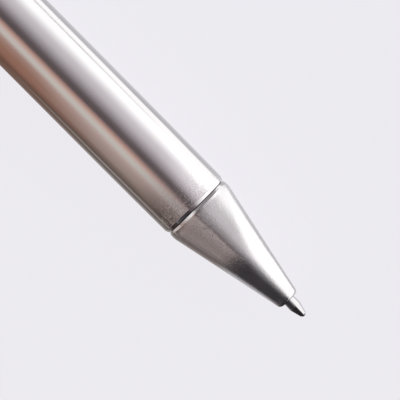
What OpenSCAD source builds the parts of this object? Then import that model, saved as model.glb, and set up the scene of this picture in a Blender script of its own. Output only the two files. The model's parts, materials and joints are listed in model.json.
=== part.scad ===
// Retractable metal ballpoint pen, lying on its barrel and its clip, writing tip out.
// Millimetres. The pen axis is X, the tip points along +X and +Z is up.
// The origin is on the pen axis, at the barrel's front face.

/* [Barrel] */
// Outside diameter of the barrel and of the head behind it
barrel_d = 13; // [12.6:0.1:14]
// Wall of the barrel and head tubes
barrel_wall = 0.9; // [0.7:0.05:0.95]
// Round of the barrel's front edge
barrel_round = 0.5; // [0.3:0.05:0.6]
// Length of the barrel tube
barrel_len = 62; // [56:1:64]
// Open joint between barrel and nose cone
joint_gap = 0.25; // [0.25:0.05:0.6]
// Width of the trim ring between barrel and head
ring_len = 1.6; // [1.2:0.1:2.4]
// How far the coupling sleeve reaches into the barrel
coupling_len = 8; // [5:0.5:12]
// Wall of the coupling sleeve
coupling_wall = 0.6; // [0.4:0.05:0.8]

/* [Nose] */
// Length of the nose cone that shows
nose_len = 21.55; // [20:0.05:23]
// How far the nose sits inside the barrel's outline
nose_step = 0.25; // [0.1:0.05:0.35]
// Length of the rounded shoulder
nose_shoulder = 1.15; // [1:0.05:1.8]
// Chamfer of the nose's rear edge
nose_edge = 0.25; // [0.15:0.05:0.3]
// Diameter of the nose's front end
nose_end_d = 3.9; // [3.8:0.1:4.4]
// Round of the nose's front rim
nose_rim = 0.75; // [0.3:0.05:0.8]
// Length of the screwed spigot
spigot_len = 7; // [5:0.5:8]
// Nominal diameter of the nose thread
thread_d = 9; // [8.8:0.1:9.4]
// Length of the hole that guides the tip
tip_hole_len = 3.2; // [2.6:0.1:3.6]
// Depth of the spring's seat behind the nose's front end
seat_depth = 6.4; // [6:0.1:7]
// Bore of the nose round the spring
spring_bore_d = 5.2; // [5.1:0.05:5.4]

/* [Writing tip] */
// Diameter of the writing tip
tip_d = 2.08; // [1.96:0.02:2.2]
// How far the tip stands out of the nose
tip_out = 3.7; // [3.4:0.1:4.4]
// Length of the tip's cone
tip_cone_len = 1.9; // [1.6:0.05:2.4]
// Diameter of the writing ball
ball_d = 1; // [0.7:0.05:1.1]

/* [Refill] */
// Length of the whole refill
refill_len = 98; // [97:0.5:99]
// Outside diameter of the refill tube
refill_d = 5.9; // [5.7:0.1:6]
// Wall of the refill tube
refill_wall = 0.3; // [0.25:0.05:0.4]
// Share of the refill tube that the ink fills
ink_fill = 0.88; // [0.2:0.02:0.96]
// Length of the refill's rear plug that shows
tail_len = 5.5; // [4:0.5:7]
// Length of the spigots in the refill tube
plug_len = 4; // [3:0.5:5]
// Diameter of the tip holder
holder_d = 3.2; // [3:0.1:3.3]
// Length of the tip's spigot in its holder
tip_spigot_len = 5; // [4:0.5:6]

/* [Spring] */
// Length of the return spring with the tip out
spring_len = 14.5; // [14:0.1:15]
// Outside diameter of the return spring
spring_d = 4.8; // [4.7:0.05:4.9]
// Diameter of the spring's wire
wire_d = 0.4; // [0.3:0.02:0.44]

/* [Click mechanism] */
// Travel of the button, the plunger and the refill
click_travel = 5.2; // [4.8:0.1:5.4]
// Number of ribs on the rotor and keyways in the guide sleeve
rib_count = 4; // [3:1:4]
// Height of the saw teeth
tooth_h = 1; // [0.8:0.1:1.1]
// Length of the rotor behind the refill
rotor_len = 8.1; // [7.6:0.1:9]
// Length of the rotor's ribs
rib_len = 5; // [4:0.5:6]
// Diameter of the rotor and of the plunger
rotor_d = 5.4; // [5.2:0.1:5.6]
// Diameter over the ribs and lugs
rib_d = 8; // [7.6:0.1:8.2]
// Width of the ribs and lugs
rib_w = 1.9; // [1.6:0.1:2]
// Length of the plunger's lugs
lug_len = 5; // [4:0.5:6]
// Distance from the plunger's crown to its lugs
crown_len = 5.55; // [4.5:0.05:7]
// Diameter of the plunger's stem
stem_d = 4.6; // [4.2:0.1:4.8]
// Diameter of the push button
button_d = 7; // [6.4:0.1:7.2]
// How far the button stands out when the tip is out
button_out = 6.5; // [6:0.5:9]
// Length of the collar inside the head
collar_spigot = 3.8; // [3:0.1:5]
// Length of the collar that shows
collar_len = 1.8; // [1.7:0.1:2.4]

/* [Clip] */
// Length of the clip from its bend to its lip
clip_len = 35; // [30:1:36]
// Width of the clip
clip_w = 4.4; // [4:0.1:5]
// Width of the clip at its lip
lip_w = 3.4; // [2.8:0.1:4]
// Thickness of the clip strip
clip_t = 0.7; // [0.6:0.05:0.8]
// Space between the clip and the head next to the bend
clip_gap = 1.4; // [1.2:0.1:1.6]
// Width of the clip's tang
tang_w = 2.4; // [2:0.1:2.6]
// Length of the clip's tang
tang_len = 3.8; // [3:0.1:4]

/* [Fits] */
// Radial clearance of a pushed-in fit
push_fit = 0.03; // [0.02:0.01:0.05]
// Radial clearance of a sliding or screwed pair
slide_fit = 0.1; // [0.06:0.01:0.14]
// Clearance between moving pieces that never touch
free_gap = 0.4; // [0.3:0.05:0.5]
// Clearance between the saw teeth with the tip out
tooth_gap = 0.25; // [0.2:0.05:0.3]

/* [Hidden] */
barrel_r = barrel_d / 2;
bore_r = barrel_r - barrel_wall;
nose_r = barrel_r - nose_step;
nose_z = joint_gap + nose_len;
nose_end_r = nose_end_d / 2;
nose_angle = atan((nose_r - nose_end_r) / (nose_len - nose_shoulder));
edge = 0.15;
tip_r = tip_d / 2;
tip_z = nose_z + tip_out;
tip_hole_r = tip_r + 0.24;
ball_r = ball_d / 2;
ball_z = tip_z - ball_r;
lip_z = ball_z + 0.35 * ball_r;
lip_r = ball_r + 0.06;
seat_z = nose_z - seat_depth;
spring_bore_r = spring_bore_d / 2;
spring_z = seat_z - spring_len;
wire_r = wire_d / 2;
spring_r = spring_d / 2 - wire_r;
holder_r = holder_d / 2;
holder_z = seat_z + 1;
refill_r = refill_d / 2;
refill_bore_r = refill_r - refill_wall;
refill_room_r = refill_r + free_gap;
tube_z = spring_z - 2.5;
refill_end = tip_z - refill_len;
ink_z = tube_z - plug_len - 0.1;
ink_len = ink_fill * (ink_z - refill_end - tail_len - plug_len);
ring_z = -barrel_len;
head_z = ring_z - ring_len;
rotor_r = rotor_d / 2;
rib_r = rib_d / 2;
keyway_r = rib_r + slide_fit;
keyway_w = rib_w + 2 * slide_fit;
guide_r = rotor_r + slide_fit;
rotor_z = refill_end - slide_fit;
tooth_z = rotor_z - rotor_len;
cam_z = tooth_z - tooth_gap;
lug_z = cam_z - crown_len;
plunger_end = lug_z - lug_len - 1;
stem_r = stem_d / 2;
sleeve_r = bore_r - push_fit;
sleeve_front = tooth_z + rib_len - 0.8;
sleeve_end = plunger_end - click_travel - free_gap;
coupling_end = sleeve_front + 1;
button_r = button_d / 2;
button_front = sleeve_end - 1;
collar_front = button_front - 1 - click_travel - free_gap;
head_end = collar_front - collar_spigot;
collar_end = head_end - collar_len;
button_end = collar_end - button_out;
tang_out = bore_r - 0.5;
tang_mid = tang_out - clip_t / 2;
flange_r = tang_out - clip_t - 0.25;
slot_z = collar_front + 1.2;
clip_mid = barrel_r + clip_gap + clip_t / 2;
clip_out = clip_mid + clip_t / 2;
clip_end = slot_z + clip_len;
// The roll that lays the clip's outer edge on the floor beside the barrel
rest_roll = -(acos(barrel_r / norm([clip_out, clip_w / 2])) + atan2(clip_w / 2, clip_out));

silver = [0.78, 0.77, 0.77];
satin = [0.68, 0.67, 0.67];
steel = [0.6, 0.61, 0.63];
brass = [0.72, 0.58, 0.3];
nickel = [0.66, 0.63, 0.58];
dark = [0.09, 0.09, 0.1];
white = [0.86, 0.86, 0.84];
blue = [0.06, 0.09, 0.3];

// Lay a piece that is modelled with its axis on Z, tip up, into the resting pose
module laid() {
  rotate([0, 90, 0])
    rotate([0, 0, rest_roll])
      children();
}

// Turn a closed outline of [radius, height] points about the axis
module turned(outline) {
  rotate_extrude($fn = 96)
    polygon(outline);
}

// A plain ring from height a to height b
module ring(r_in, r_out, a, b) {
  turned([[r_in, a], [r_out, a], [r_out, b], [r_in, b]]);
}

// A bar along +X from radius r_in, with an outline of [sideways, height] points
module radial_bar(r_in, r_out, outline) {
  translate([r_in, 0, 0])
    rotate([90, 0, 90])
      linear_extrude(height = r_out - r_in)
        polygon(outline);
}

// Saw teeth all round a crown: each stands on height base and rises to a tip on one side
module crown(count, r_in, r_out, base, rise, side) {
  half = r_out * sin(180 / count);
  intersection() {
    ring(r_in, r_out, base - 2 * abs(rise), base + 2 * abs(rise));
    union() {
      for (i = [0 : count - 1])
        rotate([0, 0, i * 360 / count])
          radial_bar(0.6 * r_in, r_out + 1, [[-half, base], [half, base], [side * half, base + rise]]);
    }
  }
}

// Points of an arc about [cx, cy]
function arc(cx, cy, r, a, b, n) =
  [for (i = [0 : n]) [cx + r * cos(a + (b - a) * i / n), cy + r * sin(a + (b - a) * i / n)]];

// Unit direction of a step
function unit(v) = v / norm(v);

// Sideways unit vector of a path at point i, stretched so that the strip keeps its thickness
function mitre(p, i) =
  let (
    last = len(p) - 1,
    u = unit(p[min(i + 1, last)] - p[min(i, last - 1)]),
    v = unit(p[max(i, 1)] - p[max(i - 1, 0)]),
    m = unit(u + v)
  )
  [-m[1], m[0]] / max(0.3, m * u);

// Outline of a strip of thickness t about a path
function strip(p, t) = concat(
  [for (i = [0 : len(p) - 1]) p[i] + mitre(p, i) * t / 2],
  [for (i = [len(p) - 1 : -1 : 0]) p[i] - mitre(p, i) * t / 2]
);

module barrel() {
  color(silver)
    laid()
      turned(concat(
        [[bore_r, 0], [barrel_r - barrel_round, 0]],
        arc(barrel_r - barrel_round, -barrel_round, barrel_round, 80, 0, 5),
        [[barrel_r, ring_z + edge], [barrel_r - edge, ring_z], [bore_r, ring_z]]
      ));
}

// Brass bush pressed into the barrel's front end, with the nose's thread
module thread_bush() {
  color(brass)
    laid()
      ring(thread_d / 2, bore_r - push_fit, -spigot_len - 1.5, -0.2);
}

// Sleeve pressed into barrel and head, which carries the trim ring
module coupling_sleeve() {
  color(brass)
    laid()
      ring(sleeve_r - coupling_wall, sleeve_r, coupling_end, ring_z + coupling_len);
}

module trim_ring() {
  color(silver)
    laid()
      ring(bore_r, barrel_r - 0.35, head_z, ring_z);
}

module head() {
  color(silver)
    laid()
      difference() {
        turned([
          [bore_r, head_z],
          [barrel_r - edge, head_z],
          [barrel_r, head_z - edge],
          [barrel_r, head_end],
          [bore_r, head_end]
        ]);
        translate([bore_r - 1, -tang_w / 2 - slide_fit, slot_z - clip_t / 2 - 0.15])
          cube([barrel_wall + 2, tang_w + 2 * slide_fit, clip_t + 0.3]);
      }
}

// Fixed cam of the click mechanism: guides with two sloped ledges each, and keyways between them
module guide_sleeve() {
  ledge = keyway_r * sin(180 / rib_count - asin(keyway_w / 2 / keyway_r)) + 0.15;
  foot = sleeve_end + 0.5;
  color(white)
    laid()
      union() {
        ring(keyway_r, sleeve_r, sleeve_end, sleeve_front);
        difference() {
          for (i = [0 : rib_count - 1])
            rotate([0, 0, (i + 0.5) * 360 / rib_count])
              intersection() {
                ring(guide_r, keyway_r + 0.3, foot, cam_z + 1);
                radial_bar(guide_r - 0.5, keyway_r + 1, [
                  [-ledge, foot - 1],
                  [ledge, foot - 1],
                  [ledge, cam_z - tooth_h],
                  [0, cam_z],
                  [0, cam_z - tooth_h],
                  [-ledge, cam_z]
                ]);
              }
          for (i = [0 : rib_count - 1])
            rotate([0, 0, i * 360 / rib_count])
              translate([1, -keyway_w / 2, foot - 1])
                cube([keyway_r + 1, keyway_w, cam_z - foot + 3]);
        }
      }
}

// Ring that closes the head round the button
module end_collar() {
  hole_r = button_r + slide_fit;
  color(silver)
    laid()
      turned(concat(
        [[hole_r, collar_front], [sleeve_r, collar_front], [sleeve_r, head_end], [barrel_r, head_end]],
        arc(barrel_r - 1.5, head_end - 0.3, 1.5, 0, -90, 6),
        [[hole_r + edge, collar_end], [hole_r, collar_end + edge]]
      ));
}

// One bent strip: tapered arm with a contact bump and a round lip, bend, and a tang behind the head's wall
module pocket_clip() {
  bend = 1.1;
  touch = barrel_r + 0.15 + clip_t / 2;
  end_r = lip_w / 2;
  end_z = clip_end - 2.6 + 2.4 * sin(135) + clip_t / 2 - end_r;
  plan = concat(
    [[clip_w / 2, slot_z - 1], [clip_w / 2, slot_z + 2]],
    arc(0, end_z, end_r, 0, 180, 10),
    [[-clip_w / 2, slot_z + 2], [-clip_w / 2, slot_z - 1]]
  );
  arm = concat(
    [[barrel_r + 0.25, slot_z]],
    arc(clip_mid - bend, slot_z + bend, bend, -90, 0, 5),
    [[clip_mid - 0.1, slot_z + 0.5 * clip_len]],
    arc(touch + 2.4, clip_end - 2.6, 2.4, 188, 135, 5)
  );
  leg = concat(
    [[barrel_r + 0.5, slot_z]],
    arc(tang_mid + 0.5, slot_z + 0.5, 0.5, -90, -180, 4),
    [[tang_mid, slot_z + tang_len]]
  );
  color(silver)
    laid()
      union() {
        intersection() {
          rotate([90, 0, 0])
            linear_extrude(height = clip_w + 1, center = true)
              polygon(strip(arm, clip_t));
          radial_bar(barrel_r - 1, clip_out + 1, plan);
        }
        rotate([90, 0, 0])
          linear_extrude(height = tang_w, center = true)
            polygon(strip(leg, clip_t));
      }
}

module nose_cone() {
  rise = nose_shoulder - nose_edge;
  sweep = rise / tan(nose_angle / 2);
  rim = min(nose_rim, 1.2 * (nose_end_r - tip_hole_r));
  rim_r = nose_end_r + rim * tan(nose_angle) - rim / cos(nose_angle);
  color(satin)
    laid()
      turned(concat(
        [
          [refill_room_r, -spigot_len],
          [thread_d / 2 - slide_fit - 0.2, -spigot_len],
          [thread_d / 2 - slide_fit, -spigot_len + 0.2],
          [thread_d / 2 - slide_fit, joint_gap],
          [nose_r - nose_edge, joint_gap]
        ],
        arc(nose_r - sweep, joint_gap + nose_edge, sweep, 0, nose_angle, 8),
        arc(rim_r, nose_z - rim, rim, nose_angle, 90, 6),
        [
          [tip_hole_r, nose_z],
          [tip_hole_r, nose_z - tip_hole_len],
          [spring_bore_r, seat_z],
          [spring_bore_r, spring_z + 2.1],
          [refill_room_r, spring_z + 1.3]
        ]
      ));
}

// Thin dark friction ring in the joint between barrel and nose
module joint_washer() {
  color(dark)
    laid()
      ring(thread_d / 2 + 0.05, barrel_r - 0.75, 0.05, joint_gap - 0.05);
}

// Open-coiled return spring between the tip holder's shoulder and the nose's seat
module return_spring() {
  curls = 10;
  steps = 12;
  sides = 6;
  a = spring_z + wire_r + 0.06;
  b = seat_z + 0.3;
  pitch = (b - a) / curls;
  lean = atan(pitch / (2 * PI * spring_r));
  count = curls * steps;
  points = [
    for (i = [0 : count], j = [0 : sides - 1])
      let (
        t = i * 360 / steps,
        s = j * 360 / sides,
        out = spring_r + wire_r * cos(s),
        up = wire_r * sin(s)
      )
      [
        out * cos(t) + up * sin(lean) * sin(t),
        out * sin(t) - up * sin(lean) * cos(t),
        a + (b - a) * i / count + up * cos(lean)
      ]
  ];
  // Least distance between surface points one curl apart
  least = min([
    for (i = [0 : count - steps], j = [0 : sides - 1], k = [0 : sides - 1])
      norm(points[i * sides + j] - points[(i + steps) * sides + k])
  ]);
  echo(str("spring: least gap between curls ", least, " mm"));
  walls = [
    for (i = [0 : count - 1], j = [0 : sides - 1], half = [0, 1])
      let (
        k = (j + 1) % sides,
        p = i * sides,
        q = p + sides
      )
      half == 0 ? [p + j, p + k, q + k] : [p + j, q + k, q + j]
  ];
  caps = [
    [for (j = [sides - 1 : -1 : 0]) j],
    [for (j = [0 : sides - 1]) count * sides + j]
  ];
  color(steel)
    laid()
      polyhedron(points = points, faces = concat(walls, caps), convexity = 10);
}

module writing_ball() {
  color(steel)
    laid()
      translate([0, 0, ball_z])
        sphere(r = ball_r, $fn = 48);
}

// Turned socket with the ball's seat, an ink channel and a spigot in the holder
module writing_tip() {
  cone_z = lip_z - tip_cone_len;
  color(nickel)
    laid()
      difference() {
        turned([
          [0, holder_z - tip_spigot_len],
          [tip_r - 0.25, holder_z - tip_spigot_len],
          [tip_r - 0.25, holder_z],
          [tip_r, holder_z],
          [tip_r, cone_z],
          [lip_r, lip_z],
          [0, lip_z]
        ]);
        translate([0, 0, ball_z])
          sphere(r = ball_r + 0.02, $fn = 48);
        ring(0, 0.25 * ball_d, holder_z - tip_spigot_len - 1, ball_z);
      }
}

// Joins tip and tube, with the shoulder that the spring pushes on
module tip_holder() {
  plug_r = refill_bore_r - push_fit;
  socket_r = tip_r - 0.25 + push_fit;
  socket_z = holder_z - tip_spigot_len - push_fit;
  channel_r = 0.3;
  color(white)
    laid()
      turned([
        [channel_r, tube_z - plug_len],
        [plug_r, tube_z - plug_len],
        [plug_r, tube_z],
        [refill_r, tube_z],
        [refill_r, spring_z],
        [holder_r, spring_z],
        [holder_r, holder_z - 0.3],
        [holder_r - 0.3, holder_z],
        [socket_r, holder_z],
        [socket_r, socket_z],
        [channel_r, socket_z]
      ]);
}

module refill_tube() {
  color(steel)
    laid()
      ring(refill_bore_r, refill_r, refill_end + tail_len, tube_z);
}

module ink_column() {
  color(blue)
    laid()
      ring(0, refill_bore_r - push_fit, ink_z - ink_len, ink_z);
}

// Rear plug of the refill, castellated at its end
module refill_tail() {
  slots = 3;
  color(white)
    laid()
      difference() {
        turned([
          [1.8, refill_end],
          [refill_r - 0.2, refill_end],
          [refill_r, refill_end + 0.2],
          [refill_r, refill_end + tail_len],
          [refill_bore_r - push_fit, refill_end + tail_len],
          [refill_bore_r - push_fit, refill_end + tail_len + plug_len],
          [1.8, refill_end + tail_len + plug_len]
        ]);
        for (i = [0 : slots - 1])
          rotate([0, 0, i * 180 / slots])
            translate([-5, -0.45, refill_end - 1])
              cube([10, 0.9, 2.4]);
      }
}

// Turning cam: ribs with sloped ends, a saw-tooth crown and a spigot in the refill's tail
module rotor() {
  color(dark)
    laid()
      union() {
        ring(0, rotor_r, tooth_z + tooth_h - 0.01, rotor_z);
        ring(0, 1.5, rotor_z - 0.1, refill_end + 2);
        crown(2 * rib_count, 1.2, rotor_r, tooth_z + tooth_h, -tooth_h, 1);
        intersection() {
          ring(rotor_r - 0.5, rib_r, tooth_z - 1, refill_end);
          union() {
            for (i = [0 : rib_count - 1])
              rotate([0, 0, i * 360 / rib_count])
                radial_bar(rotor_r - 0.6, rib_r + 1, [
                  [-rib_w / 2, tooth_z + rib_len],
                  [-rib_w / 2, tooth_z + tooth_h],
                  [rib_w / 2, tooth_z],
                  [rib_w / 2, tooth_z + rib_len]
                ]);
          }
        }
      }
}

// Pushes the rotor: saw-tooth crown, lugs in the guide sleeve's keyways, stem in the button
module plunger() {
  color(white)
    laid()
      union() {
        ring(0, rotor_r, plunger_end, cam_z - tooth_h + 0.01);
        ring(0, stem_r, head_end + 0.8, plunger_end + 0.1);
        crown(2 * rib_count, 1.2, rotor_r, cam_z - tooth_h, tooth_h, -1);
        intersection() {
          ring(rotor_r - 0.5, rib_r, lug_z - lug_len, lug_z);
          union() {
            for (i = [0 : rib_count - 1])
              rotate([0, 0, i * 360 / rib_count])
                translate([0, -rib_w / 2, lug_z - lug_len - 1])
                  cube([rib_r + 1, rib_w, lug_len + 2]);
          }
        }
      }
}

// Domed cap on the plunger's stem, with a flange that stops it at the collar
module push_button() {
  dome = 2.2 * button_r;
  dome_a = asin((button_r - 0.5) / dome);
  color(silver)
    laid()
      turned(concat(
        [
          [stem_r + push_fit, head_end + 0.7],
          [stem_r + push_fit, button_front],
          [flange_r, button_front],
          [flange_r, button_front - 1],
          [button_r, button_front - 1]
        ],
        [[button_r, button_end + 1.2]],
        arc(button_r - 0.5, button_end + 1, 0.5, 0, -60, 3),
        [for (i = [1 : 4]) [dome * sin(dome_a * (1 - i / 4)), button_end + dome * (1 - cos(dome_a * (1 - i / 4)))]],
        [[0, head_end + 0.7]]
      ));
}

barrel();
thread_bush();
coupling_sleeve();
trim_ring();
head();
guide_sleeve();
end_collar();
pocket_clip();
nose_cone();
joint_washer();
return_spring();
writing_ball();
writing_tip();
tip_holder();
refill_tube();
ink_column();
refill_tail();
rotor();
plunger();
push_button();
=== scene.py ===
"""Dresses a click ballpoint pen: turned and bent pieces on the fixed frame, their finishes and the stage."""
import json
import math

import bpy
import numpy as np
from mathutils import Matrix, Vector


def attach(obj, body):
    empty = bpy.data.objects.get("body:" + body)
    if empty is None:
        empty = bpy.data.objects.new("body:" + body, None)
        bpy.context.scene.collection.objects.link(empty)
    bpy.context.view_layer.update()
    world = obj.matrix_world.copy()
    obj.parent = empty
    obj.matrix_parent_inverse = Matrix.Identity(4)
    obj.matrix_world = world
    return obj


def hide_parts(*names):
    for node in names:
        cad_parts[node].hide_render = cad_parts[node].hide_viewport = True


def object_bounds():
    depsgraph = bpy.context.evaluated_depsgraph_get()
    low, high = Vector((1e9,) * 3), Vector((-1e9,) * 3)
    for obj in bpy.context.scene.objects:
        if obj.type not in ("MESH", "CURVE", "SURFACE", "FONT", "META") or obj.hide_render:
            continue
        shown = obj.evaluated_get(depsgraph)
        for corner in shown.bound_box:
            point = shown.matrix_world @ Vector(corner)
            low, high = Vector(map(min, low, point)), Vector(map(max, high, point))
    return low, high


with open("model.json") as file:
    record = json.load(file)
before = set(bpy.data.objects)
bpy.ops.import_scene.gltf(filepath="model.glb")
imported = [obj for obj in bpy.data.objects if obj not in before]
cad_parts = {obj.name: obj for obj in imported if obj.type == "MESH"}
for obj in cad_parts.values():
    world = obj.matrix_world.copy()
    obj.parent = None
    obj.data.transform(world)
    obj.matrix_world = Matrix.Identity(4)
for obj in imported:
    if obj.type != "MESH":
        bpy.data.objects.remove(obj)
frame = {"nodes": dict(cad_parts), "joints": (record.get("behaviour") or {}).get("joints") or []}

bl_info = {
    "name": "Ballpoint Pen",
    "version": (1, 0, 0),
    "blender": (4, 5, 0),
    "location": "3D View > Sidebar > Pen",
    "description": "Turned pieces, finishes and studio stage of a click ballpoint pen",
    "category": "Add Mesh",
}

MM = 0.001
TAU = 2 * math.pi
CAD_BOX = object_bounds()
NODES = frame["nodes"]
JOINTS = {joint["name"]: joint for joint in frame["joints"]}
# Outline points nearer than this are one point, and mesh edges over this angle in degrees stay sharp
CLOSEST = 2e-6
SHARP_ANGLE = 32


def reach(node):
    """Rear end, front end and largest radius of a CAD node about the pen axis."""
    mesh = NODES[node].data
    points = np.empty(len(mesh.vertices) * 3)
    mesh.vertices.foreach_get("co", points)
    x, y, z = points.reshape(-1, 3).T
    return float(x.min()), float(x.max()), float(np.hypot(y, z).max())


BARREL_REAR, BARREL_FRONT, BARREL_R = reach("barrel")
NOSE_REAR, NOSE_FRONT, NOSE_R = reach("nose_cone")
TIP_REAR, TIP_FRONT, TIP_R = reach("writing_tip")
BALL_REAR, BALL_FRONT, BALL_R = reach("writing_ball")
RING_REAR, RING_FRONT, RING_R = reach("trim_ring")
COLLAR_REAR, COLLAR_FRONT, COLLAR_R = reach("end_collar")
BUTTON_REAR, BUTTON_FRONT, FLANGE_R = reach("push_button")
WASHER_R = reach("joint_washer")[2]
HEAD_REAR = reach("head")[0]
FLOOR_Z = CAD_BOX[0].z
NOSE_TURNS = JOINTS["nose_turn"]["range_deg"][1] / 360
NOSE_LEAD = JOINTS["nose_advance"]["range_m"][1] / NOSE_TURNS


def linear(code):
    """Linear RGBA of an sRGB hex colour."""
    part = np.array([int(code[i:i + 2], 16) for i in (1, 3, 5)]) / 255
    part = np.where(part <= 0.04045, part / 12.92, ((part + 0.055) / 1.055) ** 2.4)
    return (*part.tolist(), 1.0)


def length(name, description, millimetres):
    """A size that the sidebar shows."""
    return bpy.props.FloatProperty(
        name=name, description=description, default=millimetres * MM, min=0.0, precision=5, unit="LENGTH"
    )


def tone(name, description, code):
    """A colour that the sidebar shows, from its sRGB hex value."""
    return bpy.props.FloatVectorProperty(
        name=name, description=description, default=linear(code), size=4, min=0.0, max=1.0, subtype="COLOR"
    )


class PenSizes(bpy.types.PropertyGroup):
    """Sizes that the frame's boxes don't give."""
    barrel_bevel: length("Barrel bevel", "Length of the bevel on the barrel's front edge", 0.58)
    barrel_step: length("Barrel step", "How much the bevel takes off the barrel's radius", 0.25)
    barrel_taper: length("Barrel taper", "How much the barrel's radius falls to its front", 0.12)
    taper_length: length("Taper length", "Length of the barrel's taper", 20)
    fine_round: length("Fine edge", "Round of the other turned edges", 0.15)
    tube_wall: length("Tube wall", "Wall of the barrel tube", 0.9)
    joint_gap: length("Joint gap", "Open joint between barrel and nose", 0.25)
    nose_shoulder: length("Nose shoulder", "Length of the nose's rounded shoulder", 1.15)
    nose_blend: length("Nose blend", "Half the length of the round from the shoulder to the cone", 0.4)
    nose_bevel: length("Nose bevel", "Length of the bevel on the nose's rear edge", 0.5)
    nose_step: length("Nose step", "How much the bevel takes off the nose's radius", 0.19)
    nose_lip: length("Nose lip", "Height of the nose's rear rim round the washer", 0.13)
    nose_end: length("Nose end", "Radius of the nose's front end", 1.95)
    nose_rim: length("Nose rim", "Round of the nose's front rim", 0.75)
    tip_hole: length("Tip hole", "Radius of the hole that guides the tip", 1.28)
    tip_hole_depth: length("Tip hole depth", "Length of the hole that guides the tip", 3.2)
    spring_bore: length("Spring bore", "Radius of the nose's bore round the spring", 2.6)
    spring_seat: length("Spring seat", "Depth of the spring's seat behind the nose's front", 6.4)
    throat_length: length("Throat length", "Length of the nose's bore round the spring", 12.4)
    throat_cone: length("Throat cone", "Length of the cone from the spring bore to the refill bore", 0.8)
    refill_bore: length("Refill bore", "Radius of the nose's bore round the refill", 3.35)
    spigot: length("Spigot", "Radius of the nose's screwed spigot", 4.4)
    thread_depth: length("Thread depth", "Depth of the thread on the nose's spigot", 0.32)
    tip_spigot: length("Tip spigot", "Length of the tip's spigot in its holder", 5.0)
    tip_cone: length("Tip cone", "Length of the tip's cone", 1.9)
    ink_channel: length("Ink channel", "Radius of the tip's ink channel", 0.25)
    button: length("Button", "Radius of the push button", 3.5)
    stem_hole: length("Stem hole", "Radius of the button's hole for the plunger", 2.33)
    collar_dome: length("Collar dome", "Round of the end collar's rear edge", 1.5)
    clip_length: length("Clip length", "Length of the clip from its bend to its lip", 35)
    lip_reach: length("Lip reach", "From the middle of the lip's bend to the clip's end", 2.6)
    lip_round: length("Lip round", "Radius of the bend of the clip's lip", 2.4)
    tang_length: length("Tang length", "Length of the clip's tang inside the head", 3.8)
    clip_gap: length("Clip gap", "Space between the clip and the head next to the bend", 1.4)
    clip_width: length("Clip width", "Width of the clip's arm at its bend", 4.4)
    lip_width: length("Lip width", "Width of the clip's arm at its round lip", 3.4)
    tang_width: length("Tang width", "Width of the clip's leg and tang", 2.4)
    clip_thickness: length("Clip thickness", "Thickness of the clip strip", 0.7)


class PenColours(bpy.types.PropertyGroup):
    """Colours of the finishes."""
    barrel: tone("Barrel", "Bright tone of the barrel and head", "#D4D1D2")
    nose: tone("Nose", "Bright tone of the satin nose", "#CDCACB")
    chrome: tone("Chrome", "Bright tone of ring, collar, clip and button", "#DADADC")
    tip: tone("Tip", "Bright tone of the writing tip", "#C4C2C3")
    ink: tone("Ink", "Colour of the ink paste", "#101A66")


class PenStage(bpy.types.PropertyGroup):
    """Camera and studio."""
    distance: length("Camera distance", "From the camera to the pen axis", 271.7)
    lens: bpy.props.FloatProperty(
        name="Lens", description="Focal length on a 36 mm sensor, in millimetres", default=148.5,
        unit="CAMERA",
    )
    tilt: bpy.props.FloatProperty(
        name="Tilt", description="Lean of the camera towards the pen's rear", default=math.radians(1.45),
        unit="ROTATION",
    )
    turn: bpy.props.FloatProperty(
        name="Turn", description="Fall of the pen axis across the picture", default=math.radians(45.2),
        unit="ROTATION",
    )
    aim: bpy.props.FloatVectorProperty(
        name="Aim", description="Point that the camera looks at", default=(-0.23 * MM, 1.21 * MM, 0.0),
        precision=5, unit="LENGTH",
    )
    floor: tone("Floor", "Colour of the floor", "#EBEAEF")
    room: tone("Room", "Dim light of the room all round", "#B4B1B3")


def arc(centre, radius, start, end, steps=10):
    """Arc: centre + radius * (cos a, sin a), with a going evenly from start to end in degrees."""
    a = np.radians(np.linspace(start, end, steps + 1))
    return np.asarray(centre) + radius * np.stack([np.cos(a), np.sin(a)], axis=1)


def rounded(corners, steps=8, closed=True):
    """Outline through (x, y, round) corners: each becomes the arc of its radius that touches both sides.

    With unit vectors u and v from the corner to its neighbours and half the angle between them h, the arc's
    centre lies at corner + (u + v) / |u + v| * round / sin h, and its points turn from one side to the other.
    """
    corners = np.asarray(corners, float)
    place, radius = corners[:, :2], corners[:, 2:]
    u = np.roll(place, 1, axis=0) - place
    v = np.roll(place, -1, axis=0) - place
    u /= np.linalg.norm(u, axis=1, keepdims=True)
    v /= np.linalg.norm(v, axis=1, keepdims=True)
    half = np.arccos(np.clip((u * v).sum(axis=1, keepdims=True), -1, 1)) / 2
    between = (u + v) / np.maximum(np.linalg.norm(u + v, axis=1, keepdims=True), 1e-9)
    centre = place + between * radius / np.sin(half)
    start = place + u * radius / np.tan(half) - centre
    end = place + v * radius / np.tan(half) - centre
    sweep = np.maximum(np.pi - 2 * half, 1e-6)[:, :, None]
    t = np.linspace(0, 1, steps + 1)[None, :, None]
    weights = np.sin((1 - t) * sweep) * start[:, None] + np.sin(t * sweep) * end[:, None]
    points = centre[:, None] + weights / np.sin(sweep)
    if not closed:
        points[0], points[-1] = place[0], place[-1]
    points = points.reshape(-1, 2)
    keep = np.linalg.norm(points - np.roll(points, 1, axis=0), axis=1) > 1e-8
    keep[0] = True
    return points[keep]


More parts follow.
